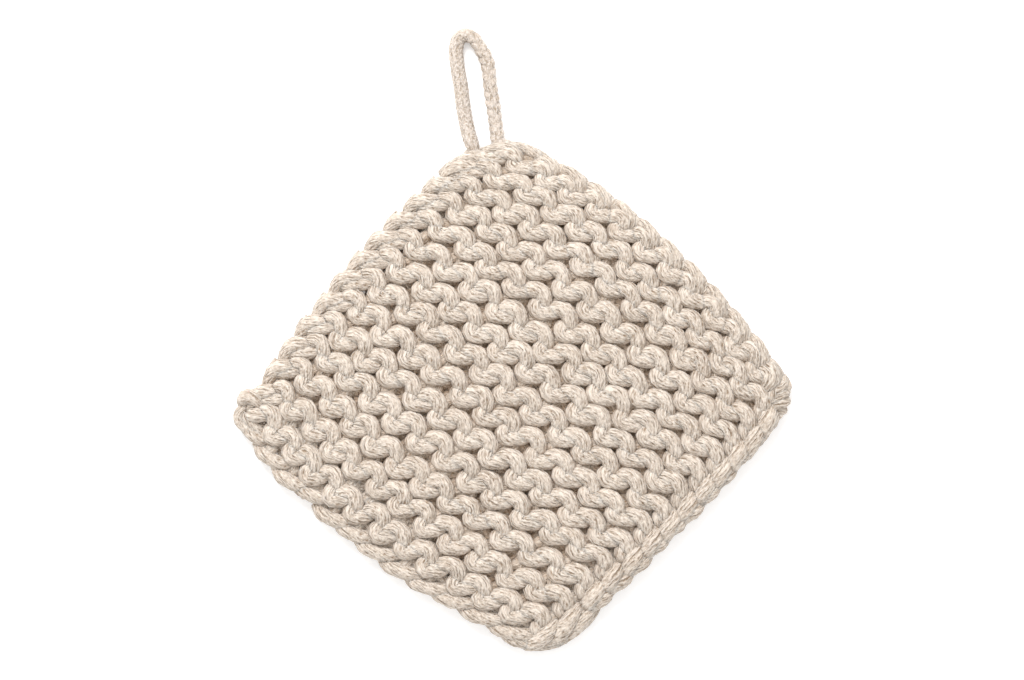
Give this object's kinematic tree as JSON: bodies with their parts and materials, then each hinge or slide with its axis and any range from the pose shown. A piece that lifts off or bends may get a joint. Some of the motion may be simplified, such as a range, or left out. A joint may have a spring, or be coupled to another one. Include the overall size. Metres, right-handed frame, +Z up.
{
  "type": "pot holder",
  "caption": "Square pot holder knitted in garter stitch from thick cotton yarn, with a hanging loop of cotton cord at one corner.",
  "frame": {"origin": "on the surface it lies on, under the middle of the knitted square's box", "axes": "+Z up out of its face, +Y towards the hanging corner and its loop, +X to the right seen from above"},
  "size_m": [0.3056, 0.3414, 0.0154],
  "materials": {
    "cotton_yarn": "undyed thick cotton yarn, hand knitted, matt",
    "cotton_cord": "undyed cotton cord with a fine linked face, matt"
  },
  "bodies": {
    "root": {"knitted_square": "cotton_yarn", "hanging_loop": "cotton_cord"}
  },
  "joints": []
}
